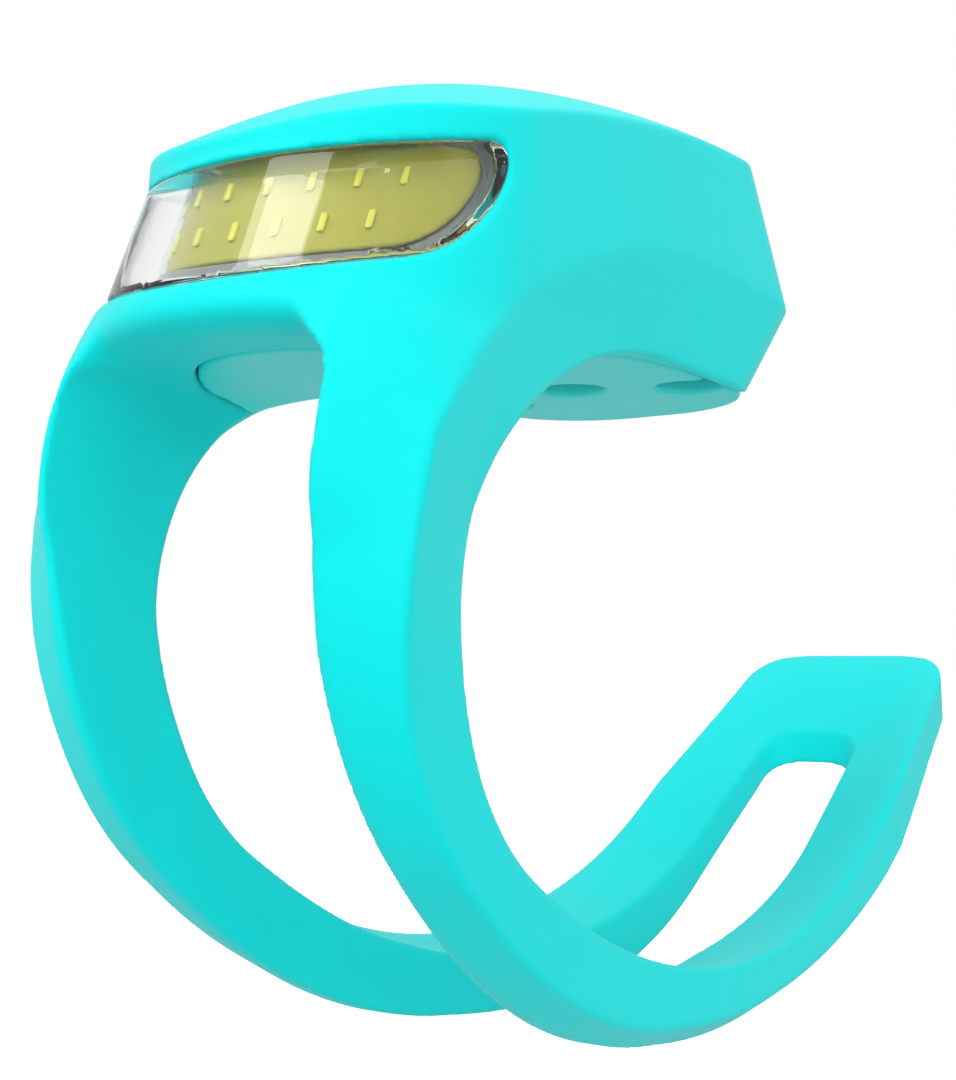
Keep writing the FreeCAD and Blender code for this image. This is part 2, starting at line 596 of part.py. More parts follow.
save(Part.makeCompound(chips), "board_parts")

switch_top = pcb_top + 1.2
stem_r = 0.9
switch = box(-1.75, 1.75, BUTTON_Y - 1.75, BUTTON_Y + 1.75, pcb_top, switch_top)
switch = switch.cut(rod(0.0, BUTTON_Y, pcb_top + 0.3, switch_top, stem_r + 0.05))
save(switch, "switch_body")
stem_top = switch_top + 0.65
save(rod(0.0, BUTTON_Y, pcb_top + 0.8, stem_top, stem_r), "switch_stem")

pad_low = stem_top
pad = rod(0.0, BUTTON_Y, pad_low + 0.55, 40.0, BUTTON_R).common(head_solid(0.0))
pad = pad.fuse([rod(0.0, BUTTON_Y, pad_low, pad_low + 0.6, 4.5),
                rod(0.0, BUTTON_Y, pad_low, pad_low + 0.6, 1.2)])
save(pad.removeSplitter(), "button_pad")

# Leads from the board to the light engine
for node, x in zip(("lead_red", "lead_black"), LEAD_X):
    save(lead_run(x, LEAD_R), node)
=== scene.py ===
"""A bicycle headlight with its own silicone strap, dressed for pictures.

The soft moulding, the lens, the light panel, the hatch and the button are built here as
smooth solids from distance fields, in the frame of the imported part. Lengths of the
object are in millimetres until a mesh is made, and every mesh is in metres.
"""
import json
import logging
import math
from dataclasses import dataclass, field
from enum import Enum

import bpy
import numpy as np
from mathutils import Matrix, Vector


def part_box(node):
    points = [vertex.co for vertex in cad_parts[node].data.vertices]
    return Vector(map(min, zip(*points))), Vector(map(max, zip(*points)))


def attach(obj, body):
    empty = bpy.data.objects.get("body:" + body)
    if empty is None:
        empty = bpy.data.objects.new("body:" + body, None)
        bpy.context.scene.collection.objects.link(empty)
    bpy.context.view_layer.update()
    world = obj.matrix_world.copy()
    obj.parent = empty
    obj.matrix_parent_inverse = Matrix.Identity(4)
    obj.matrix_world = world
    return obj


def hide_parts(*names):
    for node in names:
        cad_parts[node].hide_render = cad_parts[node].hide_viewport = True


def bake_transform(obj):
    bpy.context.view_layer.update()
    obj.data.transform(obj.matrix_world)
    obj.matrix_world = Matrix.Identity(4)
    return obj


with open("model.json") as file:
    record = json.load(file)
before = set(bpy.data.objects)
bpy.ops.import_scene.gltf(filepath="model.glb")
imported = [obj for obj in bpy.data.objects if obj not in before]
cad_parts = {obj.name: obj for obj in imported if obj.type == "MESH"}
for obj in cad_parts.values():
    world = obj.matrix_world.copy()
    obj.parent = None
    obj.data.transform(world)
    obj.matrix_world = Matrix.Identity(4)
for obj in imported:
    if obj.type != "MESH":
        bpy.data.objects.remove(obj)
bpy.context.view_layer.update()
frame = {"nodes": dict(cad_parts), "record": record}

LOG = logging.getLogger("headlight")
MM = 0.001

Array = np.ndarray
Span = tuple[float, float]
Point = tuple[float, float]
Stop = tuple[Point | None, Point]
Room = tuple[float, Span, Span]
Colour = tuple[float, float, float]


# Sums on distance fields: a field is negative inside a solid

def smooth_max(a: Array, b: Array, k: Array | float) -> Array:
    """Common part of two fields with a fillet.

    Args:
        a: first field.
        b: second field.
        k: width over which the edge is rounded.

    Returns:
        The field of the common part.
    """
    width = np.maximum(k, 1e-6)
    near = np.maximum(width - np.abs(a - b), 0.0) / width
    return np.maximum(a, b) + near * near * width * 0.25


def smooth_min(a: Array, b: Array, k: Array | float) -> Array:
    """Both solids joined, with a hollow fillet of width k between them."""
    return -smooth_max(-a, -b, k)


def without(a: Array, b: Array, k: Array | float) -> Array:
    """Solid a with b cut out of it, the edge rounded over k."""
    return smooth_max(a, -b, k)


def ramp(value: Array, low: float, high: float) -> Array:
    """A smooth step from 0 at low to 1 at high."""
    t = np.clip((value - low) / (high - low), 0.0, 1.0)
    return t * t * (3.0 - 2.0 * t)


def arc_through(a: Point, via: Point, b: Point, step: float = 0.8) -> list[Point]:
    """Points along the arc from a through via to b, without a itself.

    Args:
        a: start of the arc.
        via: a point that the arc passes.
        b: end of the arc.
        step: about how far the points stand apart.

    Returns:
        The points, b last.
    """
    (ax, ay), (mx, my), (bx, by) = a, via, b
    d = 2.0 * (ax * (my - by) + mx * (by - ay) + bx * (ay - my))
    sa, sm, sb = ax * ax + ay * ay, mx * mx + my * my, bx * bx + by * by
    cx = (sa * (my - by) + sm * (by - ay) + sb * (ay - my)) / d
    cy = (sa * (bx - mx) + sm * (ax - bx) + sb * (mx - ax)) / d
    start, middle, end = (math.atan2(y - cy, x - cx) for x, y in (a, via, b))
    turn = (end - start) % math.tau
    if (middle - start) % math.tau > turn:
        turn -= math.tau
    r = math.hypot(ax - cx, ay - cy)
    count = max(2, int(abs(turn) * r / step))
    return [(cx + r * math.cos(start + turn * i / count),
             cy + r * math.sin(start + turn * i / count)) for i in range(1, count + 1)]


def outline_field(points: list[Point], u: Array, v: Array) -> Array:
    """Signed distance to a closed outline, negative inside.

    Args:
        points: corners of the outline, in order.
        u: first coordinate of the places asked for.
        v: second coordinate of the same places.

    Returns:
        The distances, in the shape that u and v make together.
    """
    u, v = np.broadcast_arrays(u, v)
    nearest = np.full(u.shape, 1e9)
    inside = np.zeros(u.shape, bool)
    for (au, av), (bu, bv) in zip(points, points[1:] + points[:1]):
        du, dv = bu - au, bv - av
        length2 = du * du + dv * dv
        if length2 < 1e-12:
            continue
        t = np.clip(((u - au) * du + (v - av) * dv) / length2, 0.0, 1.0)
        nearest = np.minimum(nearest, (u - au - t * du) ** 2 + (v - av - t * dv) ** 2)
        if dv:
            crosses = ((av > v) != (bv > v)) & (u < au + (v - av) * du / dv)
            inside ^= crosses
    distance = np.sqrt(nearest)
    return np.where(inside, -distance, distance)


@dataclass
class Block:
    """A grid of sample places around a solid, with its middle plane at x = 0.

    Fields are worked out for x > 0 and mirrored.
    """

    half_x: float
    y: Span
    z: Span
    pitch: float

    def __post_init__(self) -> None:
        """Lay out the sample places."""
        self.xs = (np.arange(int(self.half_x / self.pitch) + 1) + 0.5) * self.pitch
        self.ys = np.arange(self.y[0], self.y[1], self.pitch)
        self.zs = np.arange(self.z[0], self.z[1], self.pitch)

    def axes(self) -> tuple[Array, Array, Array]:
        """The three coordinates, each ready to spread over the others."""
        return self.xs[:, None, None], self.ys[None, :, None], self.zs[None, None, :]

    def mesh(self, name: str, solid: Array, rounds: int = 3) -> bpy.types.Object:
        """Make a smooth mesh of a field's surface.

        Args:
            name: name of the piece.
            solid: the field for x > 0.
            rounds: how many times the points are evened out along the surface.

        Returns:
            The new object, in metres.
        """
        full = np.concatenate([solid[::-1], solid]).astype(np.float32)
        points, quads = surface_net(full)
        for _ in range(rounds):
            points = even_out(points, quads)
            points = pull_to_surface(points, full)
        place = points * self.pitch
        place += np.array([-self.xs[-1], self.ys[0], self.zs[0]])
        mesh = bpy.data.meshes.new(name)
        mesh.from_pydata((place * MM).tolist(), [], quads.tolist())
        mesh.validate()
        mesh.polygons.foreach_set("use_smooth", np.ones(len(mesh.polygons), bool))
        mesh.update()
        piece = bpy.data.objects.new(name, mesh)
        bpy.context.scene.collection.objects.link(piece)
        return piece


CORNERS = np.array([(i, j, k) for i in (0, 1) for j in (0, 1) for k in (0, 1)])
CELL_EDGES = [(a, b) for a in range(8) for b in range(a + 1, 8)
              if np.abs(CORNERS[a] - CORNERS[b]).sum() == 1]


def surface_net(solid: Array) -> tuple[Array, Array]:
    """Net of quads over the zero surface of a sampled field.

    Args:
        solid: samples on a grid.

    Returns:
        Points in grid steps, and quads as rows of four point numbers.
    """
    inside = solid < 0.0
    shape = tuple(n - 1 for n in solid.shape)
    total = np.zeros(shape, np.int8)
    for i, j, k in CORNERS:
        total += inside[i:i + shape[0], j:j + shape[1], k:k + shape[2]]
    cells = np.argwhere((total > 0) & (total < 8))
    number = np.full(shape, -1, np.int32)
    number[tuple(cells.T)] = np.arange(len(cells))
    values = [solid[tuple((cells + c).T)] for c in CORNERS]
    where = np.zeros((len(cells), 3))
    hits = np.zeros(len(cells))
    for a, b in CELL_EDGES:
        crossed = (values[a] < 0.0) != (values[b] < 0.0)
        gap = np.where(crossed, values[a] - values[b], 1.0)
        t = np.clip(np.where(crossed, values[a] / gap, 0.0), 0.0, 1.0)[:, None]
        spot = CORNERS[a] * (1.0 - t) + CORNERS[b] * t
        where += spot * crossed[:, None]
        hits += crossed
    points = cells + where / hits[:, None]
    quads = []
    for axis in range(3):
        low = [slice(None)] * 3
        high = [slice(None)] * 3
        low[axis], high[axis] = slice(0, -1), slice(1, None)
        starts, ends = inside[tuple(low)], inside[tuple(high)]
        second, third = (axis + 1) % 3, (axis + 2) % 3
        spots = np.argwhere(starts != ends)
        keep = np.ones(len(spots), bool)
        for side in (second, third):
            keep &= (spots[:, side] > 0) & (spots[:, side] < solid.shape[side] - 1)
        spots = spots[keep]
        outward = starts[tuple(spots.T)]
        ring = []
        for du, dv in ((1, 1), (0, 1), (0, 0), (1, 0)):
            at = spots.copy()
            at[:, second] -= du
            at[:, third] -= dv
            ring.append(number[tuple(at.T)])
        ring = np.stack(ring, axis=1)
        quads.append(np.where(outward[:, None], ring, ring[:, ::-1]))
    return points, np.concatenate(quads)


def even_out(points: Array, quads: Array) -> Array:
    """Move each point halfway to the middle of its neighbours."""
    pairs = np.concatenate([quads[:, [i, (i + 1) % 4]] for i in range(4)])
    pairs = np.concatenate([pairs, pairs[:, ::-1]])
    count = np.bincount(pairs[:, 0], minlength=len(points))
    middle = np.stack([np.bincount(pairs[:, 0], weights=points[pairs[:, 1], axis],
                                   minlength=len(points)) for axis in range(3)], axis=1)
    middle /= np.maximum(count, 1)[:, None]
    return np.where(count[:, None] > 0, 0.5 * (points + middle), points)


def sampled(points: Array, solid: Array) -> Array:
    """Value of a sampled field between its samples, in grid steps."""
    # The next sample on has to be inside the grid too
    top = np.array(solid.shape) - 1.001
    at = np.clip(points, 0.0, top)
    base = at.astype(int)
    part = at - base
    value = np.zeros(len(points))
    for corner in CORNERS:
        weight = np.prod(np.where(corner, part, 1.0 - part), axis=1)
        value += weight * solid[tuple((base + corner).T)]
    return value


def pull_to_surface(points: Array, solid: Array) -> Array:
    """Move points along the field's slope onto its zero surface."""
    reach, longest = 0.5, 0.7
    slope = np.zeros_like(points)
    for axis in range(3):
        shift = np.zeros(3)
        shift[axis] = reach
        slope[:, axis] = sampled(points + shift, solid) - sampled(points - shift, solid)
    slope /= 2.0 * reach
    value = sampled(points, solid)
    steep = np.maximum((slope ** 2).sum(1), 1e-4)
    move = slope * (value / steep)[:, None]
    size = np.linalg.norm(move, axis=1)[:, None]
    return points - move * np.minimum(1.0, longest / np.maximum(size, 1e-9))


# The shape of the soft moulding

@dataclass
class SideLines:
    """Lines of the strap in the side view, as y and z."""

    bar_r: float = 12.7
    grip_half_deg: float = 58.0
    underside_z: float = 15.4
    bottom_z: float = -18.4
    tail_inner_r: float = 55.0
    tail_slope_deg: float = 26.0
    tail_end: Point = (68.4, -0.85)
    behind: Point = (75.0, 2.2)
    top_slot: Point = (12.9, 19.6)
    slot_side: tuple[Stop, ...] = (
        ((-1.6, 17.9), (-17.3, 14.7)), ((-19.1, 10.95), (-19.9, 6.8)),
        ((-18.45, -3.2), (-13.2, -10.7)), ((-2.2, -18.25), (9.9, -21.8)),
        ((16.2, -22.6), (22.5, -22.75)), ((32.7, -21.3), (41.7, -18.0)),
        ((50.4, -13.6), (59.0, -9.2)), (None, (69.6, -4.3)))
    top_outer: Point = (12.9, 21.3)
    outer_side: tuple[Stop, ...] = (
        ((0.18, 19.34), (-11.3, 13.66)), ((-14.75, 11.2), (-17.25, 8.2)),
        ((-17.65, -1.9), (-10.8, -11.85)), ((-2.3, -17.15), (8.0, -20.0)),
        ((15.1, -20.75), (22.5, -20.55)), ((33.8, -19.25), (44.3, -16.6)),
        ((51.4, -13.55), (59.0, -9.65)), (None, (69.6, -4.3)))

    def grip_ends(self) -> Point:
        """Where the bar grip ends above, as y and z."""
        a = math.radians(self.grip_half_deg)
        return -self.bar_r * math.cos(a), self.bar_r * math.sin(a)

    def inner(self) -> list[Point]:
        """The inside of the C and of the tail, from the head's underside to the tail end."""
        gy, gz = self.grip_ends()
        slope = math.radians(90.0 - self.grip_half_deg)
        turn = 1.0 - math.cos(slope)
        upper_r = (self.underside_z - gz) / turn
        upper_y = gy + upper_r * math.sin(slope)
        lower_r = (-gz - self.bottom_z) / turn
        lower_y = gy + lower_r * math.sin(slope)
        half = slope / 2.0
        upper_z = self.underside_z - upper_r
        lower_z = self.bottom_z + lower_r
        points = [(upper_y, self.underside_z)]
        points += arc_through(points[-1], (upper_y - upper_r * math.sin(half),
                                           upper_z + upper_r * math.cos(half)), (gy, gz))
        points += arc_through(points[-1], (-self.bar_r, 0.0), (gy, -gz))
        points += arc_through(points[-1], (lower_y - lower_r * math.sin(half),
                                           lower_z - lower_r * math.cos(half)),
                              (lower_y, self.bottom_z))
        tail_z = self.bottom_z + self.tail_inner_r
        rise = math.radians(self.tail_slope_deg)
        points += arc_through(points[-1], (lower_y + self.tail_inner_r * math.sin(rise / 2),
                                           tail_z - self.tail_inner_r * math.cos(rise / 2)),
                              (lower_y + self.tail_inner_r * math.sin(rise),
                               tail_z - self.tail_inner_r * math.cos(rise)))
        points.append(self.tail_end)
        return points

    def bar_space(self, y: Array, z: Array) -> Array:
        """Field of the space that the bar and the tail's inside leave free."""
        points = self.inner() + [self.behind, (self.behind[0], self.underside_z)]
        return outline_field(points, y, z)

    def leg_side(self, top: Point, stops: tuple[Stop, ...], y: Array, z: Array,
                 head: tuple[Point, ...]) -> Array:
        """Field of all that lies inside one outer line of the strap.

        Args:
            top: where the line starts, in the head.
            stops: its arcs, each as a point on the way and an end.
            y: places asked for.
            z: places asked for.
            head: points that close the outline through the head, from the tail's end.

        Returns:
            The field, negative inside the line.
        """
        points = [top]
        for via, stop in stops:
            points += arc_through(points[-1], via, stop) if via else [stop]
        return outline_field([*points, *head], y, z)


@dataclass
class SoftForm:
    """Distance fields of the moulding: head, legs, tail, and all that is cut from them."""

    lines: SideLines = field(default_factory=SideLines)
    skin: float = 1.2
    button_y: float = 15.0
    over_head: tuple[Point, ...] = ((69.6, 3.0), (66.0, 10.0), (50.0, 21.2))
    over_strap: tuple[Point, ...] = ((69.7, 3.0), (50.0, 12.0), (12.9, 16.5))
    low_half_w: float = 9.85
    flare: float = 1.15
    flare_z: Span = (-6.5, 7.5)
    head_step: float = 0.45
    head_step_z: Span = (9.5, 15.5)
    tail_step: float = 0.25
    tail_step_y: Span = (4.0, 18.0)
    tail_step_z: Span = (0.0, 6.0)
    lean_under: tuple[float, float] = (0.06, 0.25)
    lean_under_z: Span = (-6.0, 6.0)
    lean_over: float = 0.035
    crease_z: float = 21.2
    nose_y: float = -7.1
    nose_lean: float = 0.41
    nose_lean_over: float = 0.05
    rear_y: float = 30.3
    rear_lean_under: float = 0.66
    rear_lean_over: float = 0.64
    rear_corner_r: float = 8.0
    crown_edge_top: Point = (26.5, 29.35)
    crown_edge_r: float = 114.0
    crown_rise: float = 3.1
    crown_middle_y: float = 5.0
    crown_half_l: float = 26.0
    crown_half_w: float = 10.2
    crown_power: float = 3.2
    crown_soft: float = 0.25
    head_low_z: float = 4.0
    head_low_soft: float = 3.0
    join_soft: float = 1.6
    join_l: float = 5.0
    join_top_z: Span = (12.0, 16.0)
    join_top_less: float = 0.4
    join_least: float = 0.01
    nose_stop_y: float = -12.2
    nose_stop_soft: float = 1.0
    strap_over: float = 1.15
    slot_half_w: float = 7.4
    slot_low_half_w: float = 6.85
    slot_narrow_y: tuple[float, float, float] = (-14.0, 22.0, 42.0)
    slot_narrow_z: Span = (-9.0, 2.0)
    slot_arch_z: float = 9.2
    slot_arch_rise: float = 3.3
    slot_arch_power: float = 4.0
    slot_top_z: float = 2.0
    slot_mid_half_w: float = 4.7
    slot_tail_half_w: float = 4.4
    slot_end_y: float = 58.6
    slot_draft: float = 0.27
    slot_draft_l: float = 4.0
    slot_draft_y: Span = (14.0, 28.0)
    slot_end_power: float = 3.0
    tail_taper_y: float = 48.0
    tail_taper_l: float = 20.4
    tail_taper: float = 1.5
    tail_tip_y: float = 68.9
    tail_tip_soft: float = 0.6
    tail_corner_r: float = 4.2
    dish: float = 1.3
    dish_x: Span = (4.0, 9.6)
    dish_rise_y: tuple[Span, Span] = ((4.0, 20.0), (20.0, 44.0))
    dish_end_y: Span = (56.0, 68.0)
    dish_top_z: Span = (2.0, 5.0)
    grip_dish: float = 1.0
    grip_dish_x: Span = (6.6, 9.4)
    grip_dish_y: Span = (2.0, 5.0)
    grip_low_z: Span = (-6.0, 3.0)
    grip_top_z: Span = (10.5, 14.5)
    under_share: float = 0.6
    under_z: Span = (5.0, 10.0)
    under_rise_y: Span = (-10.0, 4.0)
    under_end_y: Span = (10.0, 22.0)
    edge: float = 0.28
    arch_edge: float = 3.5
    arch_edge_x: Span = (5.0, 7.0)
    arch_edge_y: Span = (14.0, 18.0)
    arch_edge_z: Span = (10.0, 12.4)

    def nose_line(self, z: Array) -> Array:
        """Where the middle of the nose's arc stands, leaning forward as it goes down."""
        down = self.crease_z - z
        lean = (self.nose_y - self.nose_lean * np.maximum(down, 0.0)
                - self.nose_lean_over * np.minimum(down, 0.0))
        stop = np.full_like(lean, self.nose_stop_y)
        return smooth_max(lean, stop, self.nose_stop_soft)

    def half_width(self, y: Array, z: Array) -> Array:
        """Half the width across the side walls, which lean in from the crease."""
        below = self.lines.leg_side(self.lines.top_outer, self.lines.outer_side, y, z,
                                    self.over_head)
        along = (y - self.tail_taper_y) / self.tail_taper_l
        taper = self.tail_taper * np.clip(along, 0.0, 1.0)
        tail = ramp(y, *self.tail_step_y) * (1.0 - ramp(z, *self.tail_step_z))
        crease = (self.low_half_w + self.flare * ramp(z, *self.flare_z)
                  - self.head_step * ramp(z, *self.head_step_z) + self.tail_step * tail)
        low, high = self.lean_under
        lean = low + (high - low) * ramp(z, *self.lean_under_z)
        return (crease + lean * np.minimum(below, 0.0)
                - self.lean_over * np.maximum(below, 0.0) - taper)

    def plan(self, x: Array, y: Array, z: Array, half_w: Array) -> Array:
        """The head's walls: round nose, straight sides, rounded rear corners."""
        nose = self.nose_line(z)
        front = np.hypot(x, np.minimum(y - nose, 0.0)) - half_w
        rear = (self.rear_y - self.rear_lean_over * np.maximum(z - self.crease_z, 0.0)
                - self.rear_lean_under * np.maximum(self.crease_z - z, 0.0))
        r = self.rear_corner_r
        qx, qy = x - (half_w - r), y - (rear - r)
        back = (np.hypot(np.maximum(qx, 0.0), np.maximum(qy, 0.0))
                + np.minimum(np.maximum(qx, qy), 0.0) - r)
        return np.maximum(front, back)

    def crown(self, x: Array, y: Array, z: Array) -> Array:
        """The top: a wide arc along its side edges, with a low dome between them."""
        top_y, top_z = self.crown_edge_top
        edge = top_z - self.crown_edge_r + np.sqrt(self.crown_edge_r ** 2 - (y - top_y) ** 2)
        along = 1.0 - np.abs((y - self.crown_middle_y) / self.crown_half_l) ** self.crown_power
        across = 1.0 - (x / self.crown_half_w) ** 2
        slope = (y - top_y) / self.crown_edge_r
        return (z - edge - self.crown_rise * along * across) / np.sqrt(1.0 + slope ** 2)

    def head(self, x: Array, y: Array, z: Array, half_w: Array) -> Array:
        """The head without its lower end."""
        walls = self.plan(x, y, z, half_w)
        return smooth_max(walls, self.crown(x, y, z), self.crown_soft)

    def strap(self, x: Array, y: Array, z: Array, half_w: Array) -> Array:
        """Legs and tail as one band, prouder beside the slot than outside."""
        lines, head = self.lines, self.over_strap
        slot = lines.leg_side(lines.top_slot, lines.slot_side, y, z, head)
        outer = lines.leg_side(lines.top_outer, lines.outer_side, y, z, head)
        span = self.low_half_w + self.flare / 2.0 - self.slot_half_w
        t = np.clip((x - self.slot_half_w) / span, 0.0, self.strap_over)
        across = slot + (outer - slot) * t
        return smooth_max(across, x - half_w, self.edge)

    def slot(self, x: Array, y: Array, z: Array) -> Array:
        """The opening between the legs, from the arch under the lens to the tail loop."""
        w = self.slot_half_w
        end = self.slot_end_y - self.slot_tail_half_w
        low = self.slot_low_half_w
        narrow = np.interp(y, [*self.slot_narrow_y, end], [
            low, self.slot_mid_half_w, self.slot_mid_half_w, self.slot_tail_half_w])
        wide = w + (narrow - w) * ramp(-z, *self.slot_narrow_z)
        high = np.maximum(z - self.slot_arch_z, 0.0) / self.slot_arch_rise
        power = self.slot_arch_power
        bend = ((x / wide) ** power + high ** power) ** (1.0 / power)
        arch = np.where(high > 0.0, (bend - 1.0) * w, x - wide)
        arch = np.maximum(arch, y)
        inner = np.clip(self.lines.bar_space(y, z), 0.0, self.slot_draft_l)
        draft = self.slot_draft * inner * ramp(y, *self.slot_draft_y)
        power = self.slot_end_power
        bend = (x ** power + np.maximum(y - end, 0.0) ** power) ** (1.0 / power)
        flat = bend - np.minimum(narrow, wide) + draft
        flat = np.maximum(flat, np.maximum(z - self.slot_top_z, -y))
        return np.minimum(arch, flat)

    def dished(self, x: Array, y: Array, z: Array) -> Array:
        """How far the inside of the tail and of the C sinks towards the slot."""
        first, second = self.dish_rise_y
        along = 0.6 * ramp(y, *first) + 0.4 * ramp(y, *second)
        along = along * (1.0 - ramp(y, *self.dish_end_y)) * (1.0 - ramp(z, *self.dish_top_z))
        tail = self.dish * along * (1.0 - ramp(x, *self.dish_x))
        grip = self.grip_dish * ramp(z, *self.grip_low_z) * (1.0 - ramp(z, *self.grip_top_z))
        under = self.under_share * self.grip_dish * ramp(-z, *self.under_z)
        under = under * ramp(y, *self.under_rise_y) * (1.0 - ramp(y, *self.under_end_y))
        near_slot = 1.0 - ramp(x, *self.grip_dish_x)
        return tail + (grip * ramp(-y, *self.grip_dish_y) + under) * near_slot

    def outside(self, x: Array, y: Array, z: Array) -> Array:
        """The whole moulding as if it were solid, with its slot and the bar's space cut."""
        half_w = self.half_width(y, z)
        low = self.head_low_z - z
        head = smooth_max(self.head(x, y, z, half_w), low, self.head_low_soft)
        strap = self.strap(x, y, z, half_w)
        soft = self.join_soft * np.clip((self.nose_line(z) - y) / self.join_l, 0.0, 1.0)
        less = self.join_top_less * ramp(z, *self.join_top_z)
        soft = soft * (1.0 - less) + self.join_least
        body = smooth_min(head, strap, soft)
        tip = y - self.tail_tip_y
        corner = self.tail_corner_r
        qx, qy = x - (half_w - corner), tip + corner
        round_end = np.hypot(np.maximum(qx, 0.0), np.maximum(qy, 0.0)) - corner
        body = np.where((qx > 0.0) & (qy > 0.0), np.maximum(body, round_end), body)
        body = smooth_max(body, tip, self.tail_tip_soft)
        free = self.lines.bar_space(y, z) - self.dished(x, y, z)
        body = without(body, free, self.edge)
        soft_arch = self.arch_edge * ramp(z, *self.arch_edge_z) * ramp(-y, *self.arch_edge_y)
        soft_arch = soft_arch * (1.0 - ramp(x, *self.arch_edge_x))
        return without(body, self.slot(x, y, z), self.edge + soft_arch)


@dataclass
class LensBand:
    """The window round the nose, seen from the side: a band with a round rear end."""

    end: Point = (-12.85, 18.83)
    tilt_deg: float = 12.0
    half_h: float = 2.52
    flare: float = 0.02
    shear: float = 1.1

    def window(self, y: Array, z: Array, grow: float, shift: float = 0.0) -> Array:
        """Field of the band.

        Args:
            y: places asked for.
            z: places asked for.
            grow: how much wider each edge is than the window's.
            shift: how far the rear end moves back along the band.

        Returns:
            The field, negative inside the band.
        """
        t = math.radians(self.tilt_deg)
        cy = self.end[0] + shift * math.cos(t)
        cz = self.end[1] + shift * math.sin(t)
        along = (y - cy) * math.cos(t) + (z - cz) * math.sin(t)
        across = -(y - cy) * math.sin(t) + (z - cz) * math.cos(t)
        along = along - self.shear * across
        half_h = self.half_h + self.flare * np.maximum(-along, 0.0)
        return np.hypot(np.maximum(along, 0.0), across) - (half_h + grow)


@dataclass
class HatchForm:
    """The hatch under the head, seen from below."""

    front_y: float = -15.4
    side: tuple[Point, ...] = ((6.3, -11.0), (7.0, -7.0), (7.2, 4.0), (8.3, 12.0), (8.3, 20.3))
    rear: tuple[Point, Point] = ((6.7, 24.4), (2.6, 26.4))
    screws: tuple[Point, ...] = ((6.7, 17.4), (0.0, 14.6))
    recess_r: float = 2.1
    recess_top: float = 16.8

    def plan(self, x: Array, y: Array) -> Array:
        """Field of the hatch's outline, for x > 0."""
        side = [*self.side, *arc_through(self.side[-1], *self.rear)]
        u, v = self.side[0]
        front = arc_through((-u, v), (0.0, self.front_y), (u, v))
        points = side + [(-u, v) for u, v in reversed(side)] + front[:-1]
        return outline_field(points, x, y)

    def recesses(self, x: Array, y: Array, z: Array) -> Array:
        """Field of the round recesses over the screws."""
        holes = [np.hypot(x - sx, y - sy) - self.recess_r for sx, sy in self.screws]
        return np.maximum(np.minimum(*holes), z - self.recess_top)


FLOOR_Y: Span = (-13.0, -1.0)
FLOOR_Z: Span = (14.5, 17.4)


def floor_height(y: Array, z: Array) -> Array:
    """Height above the floor of the space inside the head, which rises behind the nose."""
    return z - np.interp(y, FLOOR_Y, FLOOR_Z)


# Finishes

class Pattern(Enum):
    """How the small relief of a surface is laid."""

    MATT = "fine even grain"
    BRUSHED = "grain drawn along one way"


@dataclass(frozen=True)
class Finish:
    """A finish: two near colours mixed by a soft noise, roughness, and a fine relief."""

    name: str
    colour: Colour
    second: Colour
    roughness: float = 0.5
    spread: float = 0.05
    metallic: float = 0.0
    specular: float = 0.5
    sheen: float = 0.0
    patch: float = 260.0
    grain: float = 9000.0
    relief: float = 0.1
    depth: float = 0.00002
    pattern: Pattern = Pattern.MATT
    brush: tuple[float, float, float] = (1.0, 0.08, 1.0)

    def material(self) -> bpy.types.Material:
        """Make the material."""
        made = bpy.data.materials.new(self.name)
        made.use_nodes = True
        tree = made.node_tree
        shader = tree.nodes["Principled BSDF"]
        shader.inputs["Metallic"].default_value = self.metallic
        shader.inputs["Specular IOR Level"].default_value = self.specular
        shader.inputs["Sheen Weight"].default_value = self.sheen
        where = tree.nodes.new("ShaderNodeTexCoord")
        tone = self._noise(tree, where, self.patch, detail=3.0)
        mix = tree.nodes.new("ShaderNodeMix")
        mix.data_type = "RGBA"
        mix.inputs["A"].default_value = (*self.colour, 1.0)
        mix.inputs["B"].default_value = (*self.second, 1.0)
        tree.links.new(tone.outputs["Fac"], mix.inputs["Factor"])
        tree.links.new(mix.outputs["Result"], shader.inputs["Base Color"])
        gloss = tree.nodes.new("ShaderNodeMapRange")
        gloss.inputs["To Min"].default_value = self.roughness - self.spread
        gloss.inputs["To Max"].default_value = self.roughness + self.spread
        tree.links.new(tone.outputs["Fac"], gloss.inputs["Value"])
        tree.links.new(gloss.outputs["Result"], shader.inputs["Roughness"])
        grain = self._noise(tree, where, self.grain, detail=2.0)
        bump = tree.nodes.new("ShaderNodeBump")
        bump.inputs["Strength"].default_value = self.relief
        bump.inputs["Distance"].default_value = self.depth
        tree.links.new(grain.outputs["Fac"], bump.inputs["Height"])
        tree.links.new(bump.outputs["Normal"], shader.inputs["Normal"])
        return made

    def _noise(self, tree: bpy.types.NodeTree, where: bpy.types.Node, scale: float,
               detail: float) -> bpy.types.Node:
        """A noise over the object, stretched where the finish is brushed."""
        noise = tree.nodes.new("ShaderNodeTexNoise")
        noise.inputs["Scale"].default_value = scale
        noise.inputs["Detail"].default_value = detail
        if self.pattern is Pattern.BRUSHED:
            stretch = tree.nodes.new("ShaderNodeMapping")
            stretch.inputs["Scale"].default_value = self.brush
            tree.links.new(where.outputs["Object"], stretch.inputs["Vector"])
            tree.links.new(stretch.outputs["Vector"], noise.inputs["Vector"])
        else:
            tree.links.new(where.outputs["Object"], noise.inputs["Vector"])
        return noise


